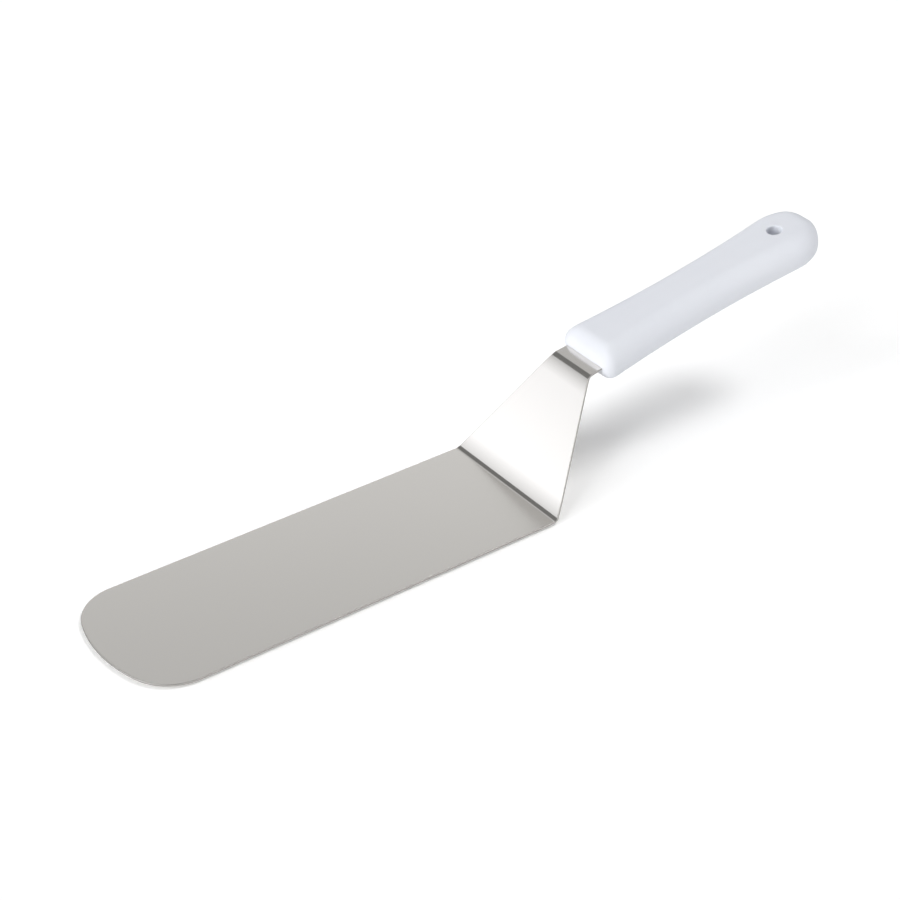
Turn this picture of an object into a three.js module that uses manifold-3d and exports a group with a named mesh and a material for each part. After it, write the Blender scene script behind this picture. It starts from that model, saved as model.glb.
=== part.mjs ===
// Pizza turner: a stainless blade, bent up at the heel, in a white plastic handle moulded round its tang.
// Millimetres, +Z up. The blade lies flat on Z = 0 with its tip towards -X, and the handle rises towards +X.
// The origin is under the middle of the whole turner.

import * as THREE from 'three';
import { mergeVertices } from 'three/addons/utils/BufferGeometryUtils.js';
import Module from 'manifold-3d';

const degrees = Math.PI / 180;
const quarterTurn = Math.PI / 2;

// Blade, stamped from one flat sheet and bent twice
const sheet = 1.0;
const bladeLength = 209.5; // heel corner to the middle of the tip
const heelWidth = 73.0;
const tipWidth = 74.8; // the sides spread a little towards the tip
const tipBow = 68.0; // radius of the front edge
const tipCorner = 23.0; // radius between the front edge and a side
const shoulder = 8.0; // radius where a side turns into the riser's edge
const bend = 3.0; // inside radius of both bends
const riserHeight = 50.0;
const riserAngle = 55.0 * degrees;
const neckWidth = 25.6; // at the upper bend
const neckFillet = 5.0; // radius where the riser's edge turns into the neck
const neckLength = 7.6; // upper bend to the handle's front face

// Handle, measured from its front face along its own axis
const handleTilt = 9.8 * degrees;
const handleLength = 135.8;
const handleThickness = 18.3;
const frontWall = 4.5; // plastic beside the neck at the front face
const waistWidth = 28.8;
const waistPlace = 62.0;
const tailWidth = 33.2; // where the tail starts to round off
const tailRound = 20.3; // length of the rounded tail
const edgeRadius = 8.5; // along the long edges and over the tail
const frontEdge = 8.0; // radius along the top and bottom of the front face
const frontCorner = 5.0; // radius at the sides of the front face
const hangingHole = 7.2;
const hangingHoleInset = 21.0; // from the end of the tail
const holeRim = 0.6; // rounding of the hanging hole's two mouths

// Tang, the blade's tail inside the handle
const tangToHole = 25.0; // plastic between the tang's end and the hanging hole
const tangEndWidth = 15.0;
const tangEndCorner = 4.0;
const lockHole = 6.0; // plastic fills these holes and locks the handle on
const lockHoleCount = 2;
const lockHoleMargin = 24.0; // from the handle's front face, and from the tang's end

// Space between the tang and the plastic round it
const fitClearance = 0.3;

// Smoothness of curves, and how far a cutter runs past what it cuts
const arcSteps = 12;
const edgeSteps = 7;
const sideSteps = 24;
const holeSides = 40;
const overrun = 2.0;

const wasm = await Module();
wasm.setup();

function toSolid(geometry) {
  const bare = geometry.clone();
  bare.deleteAttribute('normal');
  bare.deleteAttribute('uv');
  const merged = mergeVertices(bare);
  const triangles = [];
  for (let i = 0; i < merged.index.count; i += 3) {
    const corners = merged.index.array.slice(i, i + 3);
    // A triangle whose corners merged has closed up
    if (new Set(corners).size === corners.length) triangles.push(...corners);
  }
  const mesh = new wasm.Mesh({
    numProp: 3,
    vertProperties: new Float32Array(merged.attributes.position.array),
    triVerts: new Uint32Array(triangles),
  });
  return new wasm.Manifold(mesh);
}

function toGeometry(solid) {
  const mesh = solid.getMesh();
  const geometry = new THREE.BufferGeometry();
  geometry.setAttribute('position', new THREE.BufferAttribute(mesh.vertProperties, mesh.numProp));
  geometry.setIndex(new THREE.BufferAttribute(mesh.triVerts, 1));
  const faceted = geometry.toNonIndexed();
  faceted.computeVertexNormals();
  return faceted;
}

// Skin over rings of points with flat ends. Seen from its far end, each ring runs anticlockwise.
function loft(rings) {
  const sides = rings[0].length;
  const last = (rings.length - 1) * sides;
  const triangles = [];
  for (let start = 0; start < last; start += sides) {
    for (let side = 0; side < sides; side += 1) {
      const here = start + side;
      const beside = start + ((side + 1) % sides);
      triangles.push(here, beside, beside + sides, here, beside + sides, here + sides);
    }
  }
  for (let side = 1; side + 1 < sides; side += 1) {
    triangles.push(0, side + 1, side, last, last + side, last + side + 1);
  }
  const geometry = new THREE.BufferGeometry().setFromPoints(rings.flat());
  geometry.setIndex(triangles);
  return geometry;
}

// Runs a path up to a corner and round it, ready to go on towards the next point
function turnCorner(path, corner, next, radius) {
  const into = corner.clone().sub(path.currentPoint).normalize();
  const out = next.clone().sub(corner).normalize();
  const turn = Math.atan2(into.cross(out), into.dot(out));
  const start = corner.clone().addScaledVector(into, -radius * Math.tan(Math.abs(turn) / 2));
  const inward = new THREE.Vector2(-into.y, into.x).multiplyScalar(Math.sign(turn));
  const centre = start.clone().addScaledVector(inward, radius);
  const startAngle = Math.atan2(start.y - centre.y, start.x - centre.x);
  path.lineTo(start.x, start.y);
  path.absarc(centre.x, centre.y, radius, startAngle, startAngle + turn, turn < 0);
}

// The bent sheet's side view is a chain of straight runs and bends along the middle of its thickness
const bendRadius = bend + sheet / 2;
const neckTurn = riserAngle - handleTilt;
const heelSetback = bendRadius * Math.tan(riserAngle / 2);
const neckSetback = bendRadius * Math.tan(neckTurn / 2);
const riserLength = riserHeight / Math.sin(riserAngle);
const tangDepth = handleLength - hangingHoleInset - hangingHole / 2 - tangToHole;
const sheetRuns = [
  { length: bladeLength - heelSetback, turn: 0 },
  { length: bendRadius * riserAngle, turn: riserAngle },
  { length: riserLength - heelSetback - neckSetback, turn: 0 },
  { length: bendRadius * neckTurn, turn: -neckTurn },
  { length: neckLength - neckSetback + tangDepth, turn: 0 },
];
const [flatRun, heelBend, riserRun, neckBend, tangRun] = sheetRuns;

// Places on the flat blank, measured from the tip
const heelLine = flatRun.length + heelBend.length / 2;
const neckLine = flatRun.length + heelBend.length + riserRun.length + neckBend.length / 2;
const blankLength = neckLine + neckBend.length / 2 + tangRun.length;
const frontLine = blankLength - tangDepth;

// The point on the middle of the bent sheet, and its direction there, that a place on the blank is bent to
function bentPlace(place) {
  const point = new THREE.Vector2(-bladeLength, sheet / 2);
  let direction = 0;
  let left = place;
  for (const run of sheetRuns) {
    const part = Math.min(left, run.length);
    const turned = (run.turn * part) / run.length;
    const chord = run.turn === 0 ? part : ((2 * run.length) / run.turn) * Math.sin(turned / 2);
    const chordDirection = direction + turned / 2;
    point.x += chord * Math.cos(chordDirection);
    point.y += chord * Math.sin(chordDirection);
    direction += turned;
    left -= part;
  }
  return { point, direction };
}

// The handle's own frame: X along the handle from its front face, Z through its thickness
const handleFront = bentPlace(frontLine).point;
const gripFrame = new THREE.Group();
gripFrame.position.set(handleFront.x, 0, handleFront.y);
gripFrame.rotation.y = -handleTilt;
gripFrame.updateMatrix();

// Half the blank's outline, from the middle of the tip to the tang's end
function blankHalfOutline() {
  const heel = new THREE.Vector2(heelLine, heelWidth / 2);
  const neck = new THREE.Vector2(neckLine, neckWidth / 2);
  const tangCorner = new THREE.Vector2(blankLength, tangEndWidth / 2);
  const tangTail = new THREE.Vector2(blankLength, 0);

  // The tip corner's circle lies inside the bowed front edge and touches the spreading side
  const spread = Math.atan2((tipWidth - heelWidth) / 2, heelLine);
  const towardsTip = new THREE.Vector2(-Math.cos(spread), Math.sin(spread));
  const outOfSide = new THREE.Vector2(Math.sin(spread), Math.cos(spread));
  const bowCentre = new THREE.Vector2(tipBow, 0);
  const offset = heel.clone().addScaledVector(outOfSide, -tipCorner).sub(bowCentre);
  const along = offset.dot(towardsTip);
  const reach = Math.sqrt(along ** 2 - offset.lengthSq() + (tipBow - tipCorner) ** 2);
  const cornerCentre = bowCentre.clone().add(offset).addScaledVector(towardsTip, reach - along);
  const meeting = cornerCentre.clone().sub(bowCentre).angle();

  const outline = new THREE.Path();
  outline.absarc(bowCentre.x, bowCentre.y, tipBow, Math.PI, meeting, true);
  outline.absarc(cornerCentre.x, cornerCentre.y, tipCorner, meeting, outOfSide.angle(), true);
  turnCorner(outline, heel, neck, shoulder);
  turnCorner(outline, neck, tangCorner, neckFillet);
  turnCorner(outline, tangCorner, tangTail, tangEndCorner);
  return outline.getPoints(arcSteps);
}

// Points of an outline, with more of them, in line, all round a bend
function withBend(outline, bendRun, bendLine) {
  const start = bendLine - bendRun.length / 2;
  const added = Array.from({ length: arcSteps + 1 }, (_, step) => {
    const place = start + (bendRun.length * step) / arcSteps;
    const after = outline.findIndex((p) => p.x > place);
    const [from, to] = [outline[after - 1], outline[after]];
    return new THREE.Vector2(place, THREE.MathUtils.mapLinear(place, from.x, to.x, from.y, to.y));
  });
  return [...outline, ...added].sort((p, q) => p.x - q.x);
}

function tangHalfWidth(place) {
  return THREE.MathUtils.mapLinear(place, neckLine - frontLine, tangDepth, neckWidth / 2, tangEndWidth / 2);
}

const lockHolePlaces = Array.from({ length: lockHoleCount }, (_, i) => {
  const share = i / Math.max(lockHoleCount - 1, 1);
  return THREE.MathUtils.lerp(lockHoleMargin, tangDepth - lockHoleMargin, share);
});

// The blank's sections, each carried to its place on the bent sheet, with edges square to the sheet
function makeBlade() {
  const outline = withBend(withBend(blankHalfOutline(), heelBend, heelLine), neckBend, neckLine);
  const rings = outline.map(({ x: place, y: halfWidth }) => {
    const { point, direction } = bentPlace(place);
    const rise = new THREE.Vector3(-Math.sin(direction), 0, Math.cos(direction)).multiplyScalar(sheet / 2);
    const near = new THREE.Vector3(point.x, -halfWidth, point.y);
    const far = new THREE.Vector3(point.x, halfWidth, point.y);
    return [far.clone().add(rise), near.clone().add(rise), near.sub(rise), far.sub(rise)];
  });

  let blade = toSolid(loft(rings));
  for (const place of lockHolePlaces) {
    const drill = new THREE.CylinderGeometry(lockHole / 2, lockHole / 2, sheet + 2 * overrun, holeSides);
    drill.rotateX(quarterTurn);
    drill.translate(place, 0, 0);
    drill.applyMatrix4(gripFrame.matrix);
    blade = blade.subtract(toSolid(drill));
  }
  return toGeometry(blade);
}

// How far a quarter round draws a surface in, at a distance from the end that it rounds
function drawnIn(distance, radius) {
  const within = Math.max(radius - distance, 0);
  return radius - Math.sqrt(radius ** 2 - within ** 2);
}

const halfThickness = handleThickness / 2;
const longEdge = Math.min(edgeRadius, halfThickness - fitClearance);
const noseEdge = Math.min(frontEdge, halfThickness - sheet);
const tailStart = handleLength - tailRound;

// The handle flares from its waist to both ends, and its tail is half an ellipse
function handleHalfWidth(place) {
  const frontWidth = neckWidth + 2 * frontWall;
  const flare = place < waistPlace
    ? (frontWidth - waistWidth) * (1 - place / waistPlace) ** 2
    : (tailWidth - waistWidth) * ((place - waistPlace) / (tailStart - waistPlace)) ** 2;
  const intoTail = THREE.MathUtils.clamp((place - tailStart) / tailRound, 0, 1);
  return ((waistWidth + flare) / 2) * Math.sqrt(1 - intoTail ** 2) - drawnIn(place, frontCorner);
}

function handleHalfHeight(place) {
  return halfThickness - drawnIn(place, noseEdge) - drawnIn(handleLength - place, longEdge);
}

// Rounded section of the handle, whose corners keep their share of its height
function handleRing(place) {
  const side = handleHalfWidth(place);
  const top = handleHalfHeight(place);
  const corner = Math.min((longEdge * top) / halfThickness, side);
  const quarters = [[1, 1], [-1, 1], [-1, -1], [1, -1]];
  return quarters.flatMap(([across, up], quarter) =>
    Array.from({ length: edgeSteps + 1 }, (_, step) => {
      const angle = (quarter + step / edgeSteps) * quarterTurn;
      const y = across * (side - corner) + corner * Math.cos(angle);
      const z = up * (top - corner) + corner * Math.sin(angle);
      return new THREE.Vector3(place, y, z);
    }));
}

// The moulded body, with its sections closest where the front and the tail are rounded
function handleBody() {
  const places = [];
  for (let step = 0; step < arcSteps; step += 1) {
    places.push(noseEdge * (1 - Math.cos((step / arcSteps) * quarterTurn)));
  }
  for (let step = 0; step < sideSteps; step += 1) {
    places.push(THREE.MathUtils.lerp(noseEdge, tailStart, step / sideSteps));
  }
  for (let step = 0; step <= arcSteps; step += 1) {
    places.push(tailStart + tailRound * Math.sin((step / arcSteps) * quarterTurn));
  }
  return toSolid(loft(places.map(handleRing)));
}

// Room for the tang, open at the front face
function tangSlot() {
  const end = tangDepth + fitClearance;
  const frontHalf = tangHalfWidth(-overrun) + fitClearance;
  const endHalf = tangHalfWidth(end) + fitClearance;
  const height = sheet + 2 * fitClearance;
  const outline = new THREE.Shape();
  outline.moveTo(-overrun, -frontHalf);
  outline.lineTo(end, -endHalf);
  outline.lineTo(end, endHalf);
  outline.lineTo(-overrun, frontHalf);
  outline.closePath();
  const slot = new THREE.ExtrudeGeometry(outline, { depth: height, bevelEnabled: false });
  slot.translate(0, 0, -height / 2);
  return toSolid(slot);
}

// Plastic post that fills one of the tang's lock holes
function lockPost(place) {
  const radius = lockHole / 2 - fitClearance;
  const post = new THREE.CylinderGeometry(radius, radius, sheet + 2 * overrun, holeSides);
  post.rotateX(quarterTurn);
  post.translate(place, 0, 0);
  return toSolid(post);
}

// Cutter for the hanging hole, flared at both ends to round its mouths
function hangingHoleCutter() {
  const radius = hangingHole / 2;
  const flared = radius + holeRim;
  const mouth = new THREE.Path();
  mouth.moveTo(0, -halfThickness - overrun);
  mouth.lineTo(flared, -halfThickness - overrun);
  mouth.lineTo(flared, -halfThickness);
  mouth.absarc(flared, holeRim - halfThickness, holeRim, -quarterTurn, -Math.PI, true);
  mouth.absarc(flared, halfThickness - holeRim, holeRim, Math.PI, quarterTurn, true);
  mouth.lineTo(flared, halfThickness + overrun);
  mouth.lineTo(0, halfThickness + overrun);
  const cutter = new THREE.LatheGeometry(mouth.getPoints(edgeSteps), holeSides);
  cutter.rotateX(quarterTurn);
  cutter.translate(handleLength - hangingHoleInset, 0, 0);
  return toSolid(cutter);
}

function makeHandle() {
  let handle = handleBody().subtract(tangSlot());
  for (const place of lockHolePlaces) {
    handle = handle.add(lockPost(place));
  }
  return toGeometry(handle.subtract(hangingHoleCutter()));
}

const satinSteel = new THREE.MeshStandardMaterial({ color: 0xc3c1bc, roughness: 0.35, metalness: 1.0 });
const whitePlastic = new THREE.MeshStandardMaterial({ color: 0xe9eaee, roughness: 0.45, metalness: 0.0 });

const blade = new THREE.Mesh(makeBlade(), satinSteel);
blade.name = 'blade';

const handle = new THREE.Mesh(makeHandle(), whitePlastic);
handle.name = 'handle';
gripFrame.add(handle);

const turner = new THREE.Group();
turner.add(blade, gripFrame);

// The origin goes under the middle of the turner's length
const reach = new THREE.Box3().setFromObject(turner, true);
turner.position.x = -(reach.min.x + reach.max.x) / 2;

export default turner;
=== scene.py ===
"""Pizza turner: the looks of a folded stainless blade and the white handle moulded round its tang.

Metres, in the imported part's frame: +Z up, the blade flat on Z = 0 with its tip towards -X.
"""

import math

import bpy
import bmesh
from mathutils import Matrix, Vector


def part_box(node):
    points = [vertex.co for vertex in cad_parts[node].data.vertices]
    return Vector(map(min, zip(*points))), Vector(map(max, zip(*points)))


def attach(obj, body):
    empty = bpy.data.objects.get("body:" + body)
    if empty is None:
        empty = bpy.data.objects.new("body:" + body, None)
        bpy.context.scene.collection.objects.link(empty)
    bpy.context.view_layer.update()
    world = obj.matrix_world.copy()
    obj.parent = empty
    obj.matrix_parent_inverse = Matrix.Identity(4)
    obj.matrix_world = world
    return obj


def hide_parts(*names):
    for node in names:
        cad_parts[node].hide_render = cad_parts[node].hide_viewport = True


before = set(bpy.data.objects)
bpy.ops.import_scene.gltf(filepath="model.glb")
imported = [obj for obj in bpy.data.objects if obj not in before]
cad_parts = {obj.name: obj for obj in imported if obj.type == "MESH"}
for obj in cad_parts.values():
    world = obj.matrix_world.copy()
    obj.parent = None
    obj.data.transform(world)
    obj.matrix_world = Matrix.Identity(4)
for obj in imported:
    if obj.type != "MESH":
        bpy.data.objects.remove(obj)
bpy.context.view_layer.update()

# Blade, stamped from one flat sheet and bent twice
SHEET = 0.0010
BLADE_LENGTH = 0.2095  # heel corner to the middle of the tip
HEEL_WIDTH = 0.0730
TIP_WIDTH = 0.0748
TIP_BOW = 0.0680  # radius of the front edge
TIP_CORNER = 0.0230
SHOULDER = 0.0080
BEND = 0.0030  # inside radius of both bends
HEEL_EASE = math.radians(4.0)  # the last of each bend, towards the riser, runs out slowly
HEEL_EASE_LENGTH = 0.0080
NECK_EASE = math.radians(3.5)
NECK_EASE_LENGTH = 0.0070
RISER_HEIGHT = 0.0500
RISER_ANGLE = math.radians(55.0)
NECK_WIDTH = 0.0256
NECK_FILLET = 0.0050
NECK_LENGTH = 0.0076  # upper bend to the handle's front face
BURR_ROUND = 0.00022  # the stamped edge, tumbled smooth
RIM_FACING = 0.95  # faces of the flat sheet that are less upright than this belong to its cut edge

# Handle, measured from its front face along its own axis
HANDLE_TILT = math.radians(9.8)
HANDLE_LENGTH = 0.1358
HANDLE_THICKNESS = 0.0183
FRONT_WALL = 0.0045  # plastic beside the neck at the front face
WAIST_WIDTH = 0.0288
WAIST_PLACE = 0.0620
TAIL_WIDTH = 0.0332
TAIL_ROUND = 0.0203
EDGE_RADIUS = 0.0085
FRONT_EDGE = 0.0080
FRONT_CORNER = 0.0050
HANGING_HOLE = 0.0072
HANGING_HOLE_INSET = 0.0210
HOLE_RIM = 0.0006

# Tang, the blade's tail inside the handle
TANG_TO_HOLE = 0.0250
TANG_END_WIDTH = 0.0150
TANG_END_CORNER = 0.0040
LOCK_HOLE = 0.0060
LOCK_HOLE_COUNT = 2
LOCK_HOLE_MARGIN = 0.0240
MOULD_GAP = 0.00005  # shrinkage between the tang and the plastic

# Fineness of the meshes
ARC_STEPS = 28
BEND_STEPS = 20
EASE_STEPS = 16
RIM_STEPS = 4
EDGE_STEPS = 14
SIDE_STEPS = 72
FLAT_STEPS = 12
HOLE_SIDES = 72
OVERRUN = 0.0020  # how far a cutter runs past what it cuts
MERGE_DISTANCE = 1e-7  # points nearer than this become one
SLIVER = 1e-8  # edges shorter than this are taken out
SHARP_EDGE = math.radians(38.0)

# Attributes that the blade keeps from the flat sheet, for its material
BLANK_PLACE = "blank_place"
CUT_EDGE = "cut_edge"

# Satin steel: two close tones, a grain that is long along the sheet and fine across it, and dull cut edges
# whose darker colour is partly painted shade
STEEL_TONES = ((0.745, 0.725, 0.695), (0.765, 0.745, 0.715))
STEEL_ROUGHNESS = (0.15, 0.20)
STEEL_CLOUD_SCALE = 25.0
GRAIN_SCALE = 60.0
GRAIN_DETAIL = 4.0
GRAIN_STRETCH = (1.0, 60.0, 60.0)
GRAIN_BUMP = 0.03
GRAIN_DEPTH = 0.00002
# Colour of the cut edges, darker than the faces: partly the duller sheared steel, partly painted shade that
# the edges see near the floor
CUT_EDGE_TONE_AND_SHADE = (0.40, 0.39, 0.375)
CUT_EDGE_ROUGHNESS = 0.45

# White plastic: two close tones and a very fine mould texture
PLASTIC_TONES = ((0.715, 0.733, 0.785), (0.735, 0.753, 0.80))
PLASTIC_ROUGHNESS = (0.72, 0.80)
PLASTIC_IOR = 1.49
PLASTIC_CLOUD_SCALE = 30.0
MOULD_TEXTURE_SCALE = 2600.0
MOULD_BUMP = 0.04
MOULD_DEPTH = 0.00004

# Noise textures: how many finer layers they have, and where nearly all their values lie
NOISE_DETAIL = 2.0
NOISE_LOW = 0.3
NOISE_HIGH = 0.7

# Camera, as it stood for the photograph, aimed at a point beside the heel
PHOTO_LENS = 100.25
PHOTO_SENSOR = 36.0
PHOTO_AZIMUTH = math.radians(-36.3)
PHOTO_ELEVATION = math.radians(33.71)
PHOTO_DISTANCE = 1.15173
AIM_FROM_HEEL = Vector((-0.00415, 0.03799, 0.0))

# Studio: a white floor, a soft lamp high on the tail's side, and a surround of lit panels
FLOOR_SIZE = 14.0
FLOOR_GAP = 0.0012  # the blade stands a little clear, as a sheet that isn't quite flat does
FLOOR_COLOUR = (0.98, 0.98, 0.98, 1.0)
FLOOR_WHITE = 0.165  # added where the floor is seen, so that it comes out white
LAMP_TOWARDS = Vector((0.49, -0.15, 0.86))  # from the turner to the lamp
LAMP_ANGLE = math.radians(20.0)  # how wide the lamp looks, which softens its shadows
LAMP_STRENGTH = 1.12
SKY = 0.06  # brightness of the surround between its panels
WHITE = (1.0, 1.0, 1.0)
LEFT_WALL_WHITE = (0.955, 0.967, 1.0)  # a little cooler than the other panels

# Panels of the surround, which light the turner and mirror in its steel. Each has its brightness, its span
# across in degrees from the tip's side (-X) round by the far side (+Y), its span upwards in degrees, and half
# the width of its soft edges. A later panel lies over the earlier ones.
ALL_ROUND = (-200.0, 200.0)  # past half a turn each way, so that its ends don't show
PANELS = {
    "horizon": (0.48, ALL_ROUND, (-90.0, 19.0), 4.0),
    "ceiling": (0.46, ALL_ROUND, (72.0, 100.0), 4.0),
    "strip": (4.10, (-26.0, -10.0), (24.0, 63.0), 6.0),
    "far_strip": (3.10, (0.0, 20.0), (30.0, 62.0), 5.0),
    "front_wall": (2.45, (-155.0, -40.0), (-90.0, 10.0), 6.0),
    "right_wall": (0.57, (101.0, 158.0), (12.0, 62.0), 4.0),
    "right_wall_low": (0.83, (101.0, 158.0), (12.0, 35.5), 2.5),
    "back_dark": (0.20, (26.0, 101.0), (22.0, 64.0), 3.5),
    "left_wall": (1.22, (26.0, 52.0), (-6.0, 24.0), 3.0),
    "left_wall_low": (1.72, (26.0, 52.0), (-6.0, 17.5), 2.0),
    "softbox": (4.00, (-32.0, 24.0), (-2.0, 33.0), 4.0),
}

QUARTER = math.pi / 2
QUARTER_SIGNS = ((1, 1), (-1, 1), (-1, -1), (1, -1))  # across and up, anticlockwise round a section

bend_radius = BEND + SHEET / 2  # at the middle of the sheet
neck_turn = RISER_ANGLE - HANDLE_TILT


def setbacks(turn, ease, ease_length):
    """How far from its corner a bend starts on its tight side, and ends on its eased side."""
    tight = bend_radius * math.tan((turn - ease) / 2)
    slow = ease_length / ease * math.tan(ease / 2)
    share = (tight + slow) / math.sin(turn)
    return tight + share * math.sin(ease), slow + share * math.sin(turn - ease)


# Lengths along the sheet, worked out from the bends
heel_setback, heel_ease_setback = setbacks(RISER_ANGLE, HEEL_EASE, HEEL_EASE_LENGTH)
neck_setback, neck_ease_setback = setbacks(neck_turn, NECK_EASE, NECK_EASE_LENGTH)
riser_length = RISER_HEIGHT / math.sin(RISER_ANGLE)
tang_depth = HANDLE_LENGTH - HANGING_HOLE_INSET - HANGING_HOLE / 2 - TANG_TO_HOLE
heel_start = BLADE_LENGTH - heel_setback
heel_ease_start = heel_start + bend_radius * (RISER_ANGLE - HEEL_EASE)
heel_end = heel_ease_start + HEEL_EASE_LENGTH
neck_ease_start = heel_end + riser_length - heel_ease_setback - neck_ease_setback
neck_start = neck_ease_start + NECK_EASE_LENGTH
neck_end = neck_start + bend_radius * (neck_turn - NECK_EASE)
front_line = neck_end + NECK_LENGTH - neck_setback
blank_length = front_line + tang_depth

# Where the corners of the bent sheet lie on the flat one, which is a little shorter than the path round them
heel_line = (BLADE_LENGTH + heel_end - heel_ease_setback) / 2
neck_line = (neck_ease_start + neck_ease_setback + front_line - NECK_LENGTH) / 2

# Each bend's start, length and angle, from the handle to the tip
bends = {
    "Neck": (neck_start, neck_end - neck_start, NECK_EASE - neck_turn),
    "Neck ease": (neck_ease_start, NECK_EASE_LENGTH, -NECK_EASE),
    "Heel ease": (heel_ease_start, HEEL_EASE_LENGTH, HEEL_EASE),
    "Heel": (heel_start, heel_ease_start - heel_start, RISER_ANGLE - HEEL_EASE),
}

# Places in the part's frame
tip_place = Vector((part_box("blade")[0].x, 0.0, SHEET / 2))
heel_corner = tip_place + Vector((BLADE_LENGTH, 0.0, 0.0))
neck_corner = heel_corner + Vector((RISER_HEIGHT / math.tan(RISER_ANGLE), 0.0, RISER_HEIGHT))
handle_axis = Vector((math.cos(HANDLE_TILT), 0.0, math.sin(HANDLE_TILT)))
handle_front = neck_corner + handle_axis * NECK_LENGTH
handle_frame = Matrix.Translation(handle_front) @ Matrix.Rotation(-HANDLE_TILT, 4, "Y")

half_thickness = HANDLE_THICKNESS / 2
tail_start = HANDLE_LENGTH - TAIL_ROUND
lock_pitch = (tang_depth - 2 * LOCK_HOLE_MARGIN) / (LOCK_HOLE_COUNT - 1)
lock_places = [LOCK_HOLE_MARGIN + i * lock_pitch for i in range(LOCK_HOLE_COUNT)]


def steps(start, end, count):
    """Evenly spaced values from start to end, both included."""
    return [start + (end - start) * i / count for i in range(count + 1)]


def circle_points(centre, radius, start, end, count):
    return [centre + radius * Vector((math.cos(a), math.sin(a))) for a in steps(start, end, count)]


def corner_points(before, corner, after, radius):
    """Round corner between two straight stretches of an outline."""
    into = (corner - before).normalized()
    out = (after - corner).normalized()
    turn = math.atan2(into.x * out.y - into.y * out.x, into.dot(out))
    start = corner - into * radius * math.tan(abs(turn) / 2)
    side = math.copysign(1.0, turn)
    centre = start + Vector((-into.y, into.x)) * radius * side
    angle = math.atan2(start.y - centre.y, start.x - centre.x)
    return circle_points(centre, radius, angle, angle + turn, ARC_STEPS)


def blank_half_outline():
    """The flat blank's +Y side, from the middle of the tip to the tang's end."""
    heel = Vector((heel_line, HEEL_WIDTH / 2))
    neck = Vector((neck_line, NECK_WIDTH / 2))
    tang_corner = Vector((blank_length, TANG_END_WIDTH / 2))
    tang_tail = Vector((blank_length, 0.0))

    # The tip corner's circle lies inside the bowed front edge and touches the spreading side
    slant = math.atan2((TIP_WIDTH - HEEL_WIDTH) / 2, heel.x)
    towards_tip = Vector((-math.cos(slant), math.sin(slant)))
    out_of_side = Vector((math.sin(slant), math.cos(slant)))
    bow_centre = Vector((TIP_BOW, 0.0))
    offset = heel - out_of_side * TIP_CORNER - bow_centre
    along = offset.dot(towards_tip)
    reach = math.sqrt(along**2 - offset.length_squared + (TIP_BOW - TIP_CORNER) ** 2)
    corner_centre = bow_centre + offset + towards_tip * (reach - along)
    meeting = math.atan2(corner_centre.y, corner_centre.x - bow_centre.x)
    side_angle = math.atan2(out_of_side.y, out_of_side.x)

    bow = circle_points(bow_centre, TIP_BOW, math.pi, meeting, ARC_STEPS)
    corner = circle_points(corner_centre, TIP_CORNER, meeting, side_angle, ARC_STEPS)
    shoulder = corner_points(corner[-1], heel, neck, SHOULDER)
    fillet = corner_points(heel, neck, tang_corner, NECK_FILLET)
    tang_end = corner_points(neck, tang_corner, tang_tail, TANG_END_CORNER)
    return bow + corner[1:] + shoulder + fillet + tang_end


def inward_normals(outline):
    """Unit normals into a closed outline that runs clockwise."""
    normals = []
    for i in range(len(outline)):
        along = outline[(i + 1) % len(outline)] - outline[i - 1]
        normals.append(Vector((along.y, -along.x)).normalized())
    return normals


def flat_blank():
    """The sheet before it is bent, with its edge rounded all round, and cut across where it will bend."""
    half = blank_half_outline()
    outline = half + [Vector((p.x, -p.y)) for p in reversed(half[1:])]
    normals = inward_normals(outline)
    top = SHEET / 2

    # Inset and height round the sheet's edge, with a narrow flat band beside the round on each face
    rim = [(2 * BURR_ROUND, top)]
    rim += [
        (BURR_ROUND * (1 - math.sin(a)), top - BURR_ROUND * (1 - math.cos(a)))
        for a in steps(0.0, QUARTER, RIM_STEPS)
    ]
    rim += [(inset, -height) for inset, height in reversed(rim)]

    bm = bmesh.new()
    loops = []
    for inset, height in rim:
        places = [p + n * inset for p, n in zip(outline, normals)]
        loops.append([bm.verts.new((p.x, p.y, height)) for p in places])
    for upper, lower in zip(loops, loops[1:]):
        for i in range(len(outline)):
            bm.faces.new((upper[i - 1], upper[i], lower[i], lower[i - 1]))
    bm.faces.new(reversed(loops[0]))
    bm.faces.new(loops[-1])

    for name, (start, length, _) in bends.items():
        count = EASE_STEPS if "ease" in name else BEND_STEPS
        margin = length / count
        for place in steps(start - margin, start + length + margin, count + 2):
            everything = bm.verts[:] + bm.edges[:] + bm.faces[:]
            bmesh.ops.bisect_plane(bm, geom=everything, plane_co=(place, 0, 0), plane_no=(1, 0, 0))
    bmesh.ops.recalc_face_normals(bm, faces=bm.faces[:])
    mesh = bpy.data.meshes.new("blade_blank")
    bm.to_mesh(mesh)
    bm.free()
    return mesh


def add_socket(tree, name, kind, direction="INPUT"):
    return tree.interface.new_socket(name=name, in_out=direction, socket_type=kind)


def calc(tree, operation, *values):
    """A Math node's result. Each value is a number or another node's socket."""
    node = tree.nodes.new("ShaderNodeMath")
    node.operation = operation
    for socket, value in zip(node.inputs, values):
        if isinstance(value, bpy.types.NodeSocket):
            tree.links.new(value, socket)
        else:
            socket.default_value = value
    return node.outputs[0]


def towards(tree, share, value, level):
    """Moves a value towards a level by a share of the way."""
    return calc(tree, "MULTIPLY_ADD", calc(tree, "SUBTRACT", level, value), share, value)


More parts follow.
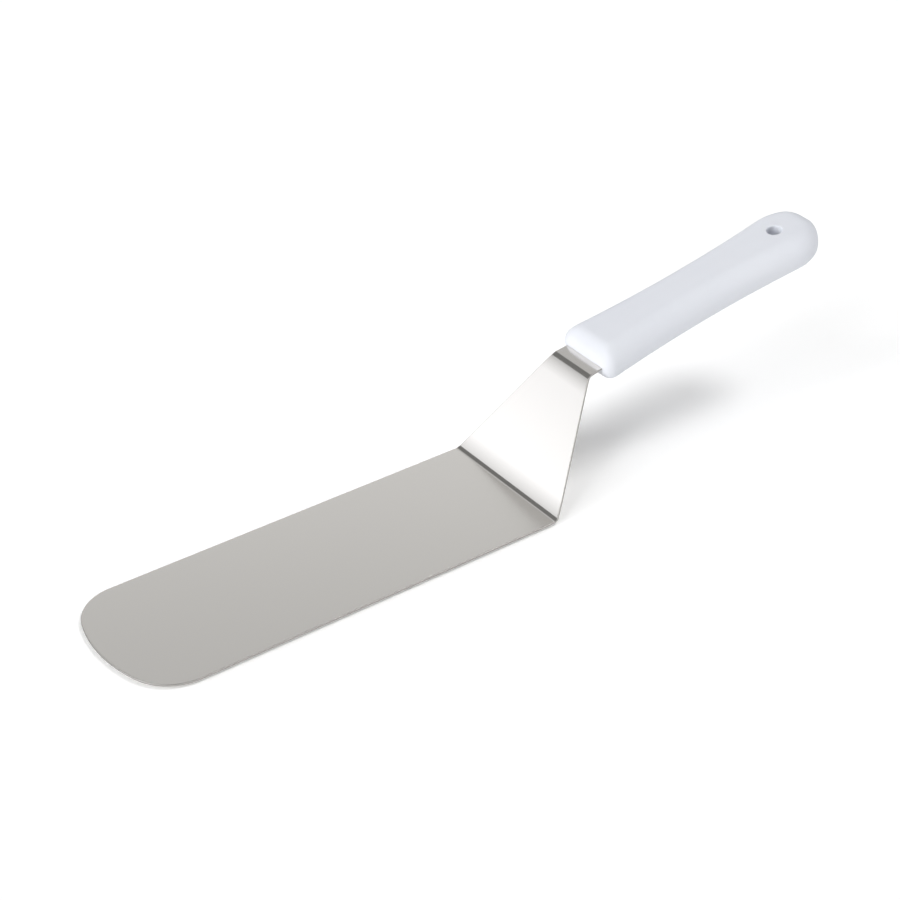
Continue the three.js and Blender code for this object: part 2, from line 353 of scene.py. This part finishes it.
def bend_group():
    """Node group that wraps a flat sheet round a bend. What lies past the bend swings round with it."""
    tree = bpy.data.node_groups.new("Bend sheet", "GeometryNodeTree")
    add_socket(tree, "Sheet", "NodeSocketGeometry")
    add_socket(tree, "Bend start", "NodeSocketFloat")
    add_socket(tree, "Bend length", "NodeSocketFloat")
    add_socket(tree, "Bend angle", "NodeSocketFloat")
    add_socket(tree, "Bent sheet", "NodeSocketGeometry", "OUTPUT")
    given = tree.nodes.new("NodeGroupInput").outputs
    start = given["Bend start"]
    length = given["Bend length"]

    place = tree.nodes.new("ShaderNodeSeparateXYZ")
    tree.links.new(tree.nodes.new("GeometryNodeInputPosition").outputs[0], place.inputs[0])
    past_start = calc(tree, "SUBTRACT", place.outputs["X"], start)
    round_bend = calc(tree, "MINIMUM", calc(tree, "MAXIMUM", past_start, 0.0), length)
    straight = calc(tree, "SUBTRACT", past_start, round_bend)
    centre = calc(tree, "DIVIDE", length, given["Bend angle"])
    turn = calc(tree, "DIVIDE", round_bend, centre)
    lever = calc(tree, "SUBTRACT", centre, place.outputs["Z"])
    sine = calc(tree, "SINE", turn)
    cosine = calc(tree, "COSINE", turn)
    ahead = calc(tree, "MULTIPLY_ADD", straight, cosine, start)
    drop = calc(tree, "MULTIPLY", lever, cosine)
    bent = tree.nodes.new("ShaderNodeCombineXYZ")
    tree.links.new(calc(tree, "MULTIPLY_ADD", lever, sine, ahead), bent.inputs["X"])
    tree.links.new(place.outputs["Y"], bent.inputs["Y"])
    rise = calc(tree, "MULTIPLY_ADD", straight, sine, calc(tree, "SUBTRACT", centre, drop))
    tree.links.new(rise, bent.inputs["Z"])

    moved = tree.nodes.new("GeometryNodeSetPosition")
    tree.links.new(given["Sheet"], moved.inputs["Geometry"])
    tree.links.new(bent.outputs[0], moved.inputs["Position"])
    out = tree.nodes.new("NodeGroupOutput")
    tree.links.new(moved.outputs[0], out.inputs["Bent sheet"])
    return tree


def fold_tree(steel):
    """Geometry nodes that fold the flat blank into the blade and carry its grain round the bends."""
    tree = bpy.data.node_groups.new("Fold blade", "GeometryNodeTree")
    add_socket(tree, "Blank", "NodeSocketGeometry")
    for bend in bends:
        for size in ("start", "length", "angle"):
            add_socket(tree, f"{bend} {size}", "NodeSocketFloat")
    add_socket(tree, "Tip place", "NodeSocketVector")
    add_socket(tree, "Blade", "NodeSocketGeometry", "OUTPUT")
    given = tree.nodes.new("NodeGroupInput").outputs

    grain = tree.nodes.new("GeometryNodeStoreNamedAttribute")
    grain.data_type = "FLOAT_VECTOR"
    grain.inputs["Name"].default_value = BLANK_PLACE
    tree.links.new(tree.nodes.new("GeometryNodeInputPosition").outputs[0], grain.inputs["Value"])
    tree.links.new(given["Blank"], grain.inputs["Geometry"])
    rim = tree.nodes.new("GeometryNodeStoreNamedAttribute")
    rim.domain = "FACE"
    rim.inputs["Name"].default_value = CUT_EDGE
    facing = tree.nodes.new("ShaderNodeSeparateXYZ")
    tree.links.new(tree.nodes.new("GeometryNodeInputNormal").outputs[0], facing.inputs[0])
    upright = calc(tree, "ABSOLUTE", facing.outputs["Z"])
    tree.links.new(calc(tree, "LESS_THAN", upright, RIM_FACING), rim.inputs["Value"])
    tree.links.new(grain.outputs[0], rim.inputs["Geometry"])
    shape = rim.outputs[0]
    group = bend_group()
    for bend in bends:
        node = tree.nodes.new("GeometryNodeGroup")
        node.node_tree = group
        tree.links.new(shape, node.inputs["Sheet"])
        for size in ("start", "length", "angle"):
            tree.links.new(given[f"{bend} {size}"], node.inputs[f"Bend {size}"])
        shape = node.outputs[0]

    placed = tree.nodes.new("GeometryNodeTransform")
    tree.links.new(shape, placed.inputs["Geometry"])
    tree.links.new(given["Tip place"], placed.inputs["Translation"])
    whole = tree.nodes.new("GeometryNodeRealizeInstances")
    tree.links.new(placed.outputs[0], whole.inputs[0])
    finished = tree.nodes.new("GeometryNodeSetMaterial")
    finished.inputs["Material"].default_value = steel
    tree.links.new(whole.outputs[0], finished.inputs["Geometry"])
    out = tree.nodes.new("NodeGroupOutput")
    tree.links.new(finished.outputs[0], out.inputs["Blade"])
    return tree


def skin(name, rings):
    """Closed mesh over rings of points. Seen from its far end, each ring runs anticlockwise."""
    bm = bmesh.new()
    loops = [[bm.verts.new(p) for p in ring] for ring in rings]
    for here, there in zip(loops, loops[1:]):
        for i in range(len(here)):
            bm.faces.new((here[i - 1], here[i], there[i], there[i - 1]))
    bm.faces.new(reversed(loops[0]))
    bm.faces.new(loops[-1])
    bmesh.ops.remove_doubles(bm, verts=bm.verts[:], dist=MERGE_DISTANCE)
    bmesh.ops.dissolve_degenerate(bm, edges=bm.edges[:], dist=SLIVER)
    mesh = bpy.data.meshes.new(name)
    bm.to_mesh(mesh)
    bm.free()
    return mesh


def show(name, mesh):
    piece = bpy.data.objects.new(name, mesh)
    bpy.context.scene.collection.objects.link(piece)
    return piece


def cut(piece, mesh, operation="DIFFERENCE"):
    """Adds a cut, or a join, by a mesh in the handle's frame. Returns its tool, to be cleared away later."""
    mesh.transform(handle_frame)
    tool = show("tool", mesh)
    modifier = piece.modifiers.new("cut", "BOOLEAN")
    modifier.object = tool
    modifier.operation = operation
    modifier.solver = "EXACT"
    return tool


def settle(piece, tools):
    """Makes the modifiers' result the piece's own mesh, and clears the tools away."""
    graph = bpy.context.evaluated_depsgraph_get()
    mesh = bpy.data.meshes.new_from_object(piece.evaluated_get(graph))
    piece.modifiers.clear()
    piece.data = mesh
    for tool in tools:
        bpy.data.objects.remove(tool)
    mesh.shade_smooth()
    mesh.set_sharp_from_angle(angle=SHARP_EDGE)


def upright_cylinder(name, place, profile):
    """Turned shape about the handle's thickness, from (radius, height) pairs listed upwards."""
    angles = steps(0.0, 2 * math.pi, HOLE_SIDES)[:-1]
    rings = [
        [(place + r * math.cos(a), r * math.sin(a), z) for a in angles]
        for r, z in profile
    ]
    return skin(name, rings)


def lock_pin(place, radius):
    reach = SHEET / 2 + OVERRUN
    return upright_cylinder("lock_pin", place, [(radius, -reach), (radius, reach)])


def make_blade(steel):
    blade = show("turner_blade", flat_blank())
    tree = fold_tree(steel)
    fold = blade.modifiers.new("fold", "NODES")
    fold.node_group = tree
    sizes = {"Tip place": tip_place}
    for bend, (start, length, angle) in bends.items():
        sizes |= {f"{bend} start": start, f"{bend} length": length, f"{bend} angle": angle}
    for item in tree.interface.items_tree:
        if item.name in sizes:
            fold[item.identifier] = sizes[item.name]
    settle(blade, [cut(blade, lock_pin(place, LOCK_HOLE / 2)) for place in lock_places])
    return blade


def drawn_in(distance, radius):
    """How far a quarter round draws a surface in, at a distance from the end that it rounds."""
    within = max(radius - distance, 0.0)
    return radius - math.sqrt(radius**2 - within**2)


def handle_half_width(place):
    """The handle flares from its waist to both ends, and its tail is half an ellipse."""
    if place < WAIST_PLACE:
        flare = (NECK_WIDTH + 2 * FRONT_WALL - WAIST_WIDTH) * (1 - place / WAIST_PLACE) ** 2
    else:
        flare = (TAIL_WIDTH - WAIST_WIDTH) * ((place - WAIST_PLACE) / (tail_start - WAIST_PLACE)) ** 2
    into_tail = min(max((place - tail_start) / TAIL_ROUND, 0.0), 1.0)
    return (WAIST_WIDTH + flare) / 2 * math.sqrt(1 - into_tail**2) - drawn_in(place, FRONT_CORNER)


def handle_ring(place):
    """Rounded section of the handle, whose corners keep their share of its height."""
    side = handle_half_width(place)
    top = half_thickness - drawn_in(place, FRONT_EDGE) - drawn_in(HANDLE_LENGTH - place, EDGE_RADIUS)
    corner = min(EDGE_RADIUS * top / half_thickness, side)
    flat = side - corner
    ring = []
    for quarter, (across, up) in enumerate(QUARTER_SIGNS):
        for angle in steps(quarter * QUARTER, (quarter + 1) * QUARTER, EDGE_STEPS):
            y = across * flat + corner * math.cos(angle)
            z = up * (top - corner) + corner * math.sin(angle)
            ring.append((place, y, z))
        if across == up:
            ring += [(place, across * y, up * top) for y in steps(flat, -flat, FLAT_STEPS)[1:-1]]
    return ring


def handle_body():
    nose = [FRONT_EDGE * (1 - math.cos(a)) for a in steps(0.0, QUARTER, ARC_STEPS)]
    sides = steps(FRONT_EDGE, tail_start, SIDE_STEPS)
    tail = [tail_start + TAIL_ROUND * math.sin(a) for a in steps(0.0, QUARTER, ARC_STEPS)]
    return skin("handle_body", [handle_ring(place) for place in nose + sides[1:-1] + tail])


def tang_slot():
    """Room for the tang, open at the handle's front face."""
    neck_place = neck_line - front_line
    taper = (NECK_WIDTH - TANG_END_WIDTH) / 2 / (tang_depth - neck_place)
    height = SHEET / 2 + MOULD_GAP
    rings = []
    for place in (-OVERRUN, tang_depth + MOULD_GAP):
        side = TANG_END_WIDTH / 2 + taper * (tang_depth - place) + MOULD_GAP
        rings.append([(place, across * side, up * height) for across, up in QUARTER_SIGNS])
    return skin("tang_slot", rings)


def hanging_hole():
    """Turned cutter that flares at both ends, to round the hole's mouths."""
    radius = HANGING_HOLE / 2
    mouth = [
        (radius + HOLE_RIM * (1 - math.sin(a)), half_thickness - HOLE_RIM * (1 - math.cos(a)))
        for a in steps(QUARTER, 0.0, EDGE_STEPS)
    ]
    mouth.append((radius + HOLE_RIM, half_thickness + OVERRUN))
    profile = [(r, -z) for r, z in reversed(mouth)] + mouth
    return upright_cylinder("hanging_hole", HANDLE_LENGTH - HANGING_HOLE_INSET, profile)


def make_handle(plastic):
    body = handle_body()
    body.transform(handle_frame)
    body.materials.append(plastic)
    handle = show("turner_handle", body)
    tools = [cut(handle, tang_slot())]
    tools += [cut(handle, lock_pin(place, LOCK_HOLE / 2 - MOULD_GAP), "UNION") for place in lock_places]
    tools.append(cut(handle, hanging_hole()))
    settle(handle, tools)
    return handle


def new_material(name):
    """A material with its node tree and its main shader."""
    material = bpy.data.materials.new(name)
    material.use_nodes = True
    return material, material.node_tree, material.node_tree.nodes["Principled BSDF"]


def attribute(tree, name):
    """What a named attribute of the mesh holds."""
    node = tree.nodes.new("ShaderNodeAttribute")
    node.attribute_name = name
    return node.outputs


def noise(tree, coordinates, scale, detail=NOISE_DETAIL, stretch=(1.0, 1.0, 1.0)):
    """Noise of a given size along each direction of the coordinates."""
    mapping = tree.nodes.new("ShaderNodeMapping")
    mapping.inputs["Scale"].default_value = stretch
    tree.links.new(coordinates, mapping.inputs["Vector"])
    texture = tree.nodes.new("ShaderNodeTexNoise")
    texture.inputs["Scale"].default_value = scale
    texture.inputs["Detail"].default_value = detail
    tree.links.new(mapping.outputs[0], texture.inputs["Vector"])
    return texture.outputs["Fac"]


def spread(tree, value, low, high):
    """Maps the usual values of a noise texture to a range."""
    node = tree.nodes.new("ShaderNodeMapRange")
    node.inputs["From Min"].default_value = NOISE_LOW
    node.inputs["From Max"].default_value = NOISE_HIGH
    node.inputs["To Min"].default_value = low
    node.inputs["To Max"].default_value = high
    tree.links.new(value, node.inputs["Value"])
    return node.outputs["Result"]


def tint(tree, share, *colours):
    """Colour between two others by a share. Each is a colour or another node's socket."""
    node = tree.nodes.new("ShaderNodeMix")
    node.data_type = "RGBA"
    inputs = [socket for socket in node.inputs if socket.type == "RGBA"]
    for socket, colour in zip(inputs, colours):
        if isinstance(colour, bpy.types.NodeSocket):
            tree.links.new(colour, socket)
        else:
            socket.default_value = (*colour, 1.0)
    tree.links.new(share, node.inputs["Factor"])
    return next(socket for socket in node.outputs if socket.type == "RGBA")


def relief(tree, shader, height, strength, depth):
    """Gives a shader fine bumps by a height."""
    bump = tree.nodes.new("ShaderNodeBump")
    bump.inputs["Strength"].default_value = strength
    bump.inputs["Distance"].default_value = depth
    tree.links.new(height, bump.inputs["Height"])
    tree.links.new(bump.outputs[0], shader.inputs["Normal"])


def satin_steel():
    """Rolled stainless sheet, with a fine grain that follows it round the bends, and dull cut edges whose
    darker colour is partly painted shade.
    """
    material, tree, shader = new_material("satin_steel")
    shader.inputs["Metallic"].default_value = 1.0
    place = attribute(tree, BLANK_PLACE)["Vector"]
    rim = attribute(tree, CUT_EDGE)["Fac"]
    grain = noise(tree, place, GRAIN_SCALE, GRAIN_DETAIL, GRAIN_STRETCH)
    cloud = noise(tree, place, STEEL_CLOUD_SCALE)
    face_tone = tint(tree, spread(tree, cloud, 0.0, 1.0), *STEEL_TONES)
    face_roughness = spread(tree, grain, *STEEL_ROUGHNESS)
    # The cut edges take their darker colour, which is partly painted shade, and a rougher finish
    tree.links.new(tint(tree, rim, face_tone, CUT_EDGE_TONE_AND_SHADE), shader.inputs["Base Color"])
    tree.links.new(towards(tree, rim, face_roughness, CUT_EDGE_ROUGHNESS), shader.inputs["Roughness"])
    relief(tree, shader, grain, GRAIN_BUMP, GRAIN_DEPTH)
    return material


def white_plastic():
    """Matt moulded polypropylene with a very fine mould texture."""
    material, tree, shader = new_material("white_plastic")
    shader.inputs["IOR"].default_value = PLASTIC_IOR
    place = tree.nodes.new("ShaderNodeTexCoord").outputs["Object"]
    texture = noise(tree, place, MOULD_TEXTURE_SCALE)
    cloud = noise(tree, place, PLASTIC_CLOUD_SCALE)
    tone = tint(tree, spread(tree, cloud, 0.0, 1.0), *PLASTIC_TONES)
    tree.links.new(tone, shader.inputs["Base Color"])
    tree.links.new(spread(tree, texture, *PLASTIC_ROUGHNESS), shader.inputs["Roughness"])
    relief(tree, shader, texture, MOULD_BUMP, MOULD_DEPTH)
    return material


def make_floor():
    """White floor. Its added white shows to the camera and in reflections, and lights nothing else."""
    material, tree, shader = new_material("floor_white")
    shader.inputs["Base Color"].default_value = FLOOR_COLOUR
    shader.inputs["Roughness"].default_value = 1.0
    shader.inputs["Specular IOR Level"].default_value = 0.0
    rays = tree.nodes.new("ShaderNodeLightPath").outputs
    seen = calc(tree, "MAXIMUM", rays["Is Camera Ray"], rays["Is Glossy Ray"])
    seen = calc(tree, "MAXIMUM", seen, rays["Is Transmission Ray"])
    shader.inputs["Emission Color"].default_value = (*WHITE, 1.0)
    tree.links.new(calc(tree, "MULTIPLY", seen, FLOOR_WHITE), shader.inputs["Emission Strength"])

    half = FLOOR_SIZE / 2
    mesh = bpy.data.meshes.new("floor")
    corners = [(-half, -half), (half, -half), (half, half), (-half, half)]
    mesh.from_pydata([(x, y, -FLOOR_GAP) for x, y in corners], [], [(0, 1, 2, 3)])
    mesh.materials.append(material)
    show("floor", mesh)


def make_lamp():
    """Distant lamp that casts the soft shadow behind the riser and the handle."""
    lamp = bpy.data.lights.new("soft_lamp", "SUN")
    lamp.angle = LAMP_ANGLE
    lamp.energy = LAMP_STRENGTH
    light = bpy.data.objects.new("soft_lamp", lamp)
    light.rotation_euler = (-LAMP_TOWARDS).to_track_quat("-Z", "Y").to_euler()
    bpy.context.scene.collection.objects.link(light)


def window(tree, value, low, high, soft):
    """1 between two angles in degrees and 0 outside them, with soft sides."""
    sides = []
    for edge, sign in ((low, 1.0), (high, -1.0)):
        node = tree.nodes.new("ShaderNodeMapRange")
        node.interpolation_type = "SMOOTHSTEP"
        node.inputs["From Min"].default_value = math.radians(edge - sign * soft)
        node.inputs["From Max"].default_value = math.radians(edge + sign * soft)
        tree.links.new(value, node.inputs["Value"])
        sides.append(node.outputs["Result"])
    return calc(tree, "MULTIPLY", *sides)


def patch(tree, azimuth, elevation, across, upwards, soft):
    """1 inside a panel of the surround and 0 outside it, with soft edges."""
    beside = window(tree, azimuth, *across, soft)
    above = window(tree, elevation, *upwards, soft)
    return calc(tree, "MULTIPLY", beside, above)


def make_surround():
    """World of soft-edged panels, each set by its direction from the turner."""
    world = bpy.data.worlds.new("studio")
    bpy.context.scene.world = world
    world.use_nodes = True
    tree = world.node_tree
    direction = tree.nodes.new("ShaderNodeSeparateXYZ")
    tree.links.new(tree.nodes.new("ShaderNodeTexCoord").outputs["Generated"], direction.inputs[0])
    away = calc(tree, "MULTIPLY", direction.outputs["X"], -1.0)
    azimuth = calc(tree, "ARCTAN2", direction.outputs["Y"], away)
    elevation = calc(tree, "ARCSINE", direction.outputs["Z"])
    level = SKY
    for brightness, across, upwards, soft in PANELS.values():
        level = towards(tree, patch(tree, azimuth, elevation, across, upwards, soft), level, brightness)
    left_wall = patch(tree, azimuth, elevation, *PANELS["left_wall"][1:])
    background = tree.nodes["Background"]
    tree.links.new(level, background.inputs["Strength"])
    tree.links.new(tint(tree, left_wall, WHITE, LEFT_WALL_WHITE), background.inputs["Color"])


def make_camera():
    """Camera at the photograph's place and angle."""
    lens = bpy.data.cameras.new("photo_camera")
    lens.lens = PHOTO_LENS
    lens.sensor_width = PHOTO_SENSOR
    flat = math.cos(PHOTO_ELEVATION)
    back = Vector((
        math.sin(PHOTO_AZIMUTH) * flat,
        -math.cos(PHOTO_AZIMUTH) * flat,
        math.sin(PHOTO_ELEVATION),
    ))
    aim = Vector((heel_corner.x, 0.0, 0.0)) + AIM_FROM_HEEL
    camera = bpy.data.objects.new("photo_camera", lens)
    camera.location = aim + back * PHOTO_DISTANCE
    camera.rotation_euler = (-back).to_track_quat("-Z", "Y").to_euler()
    bpy.context.scene.collection.objects.link(camera)
    bpy.context.scene.camera = camera


bpy.context.scene.view_settings.view_transform = "Standard"
make_camera()
make_floor()
make_lamp()
make_surround()

pieces = {
    "blade": make_blade(satin_steel()),
    "handle": make_handle(white_plastic()),
}
for node, piece in pieces.items():
    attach(piece, "root")
    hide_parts(node)
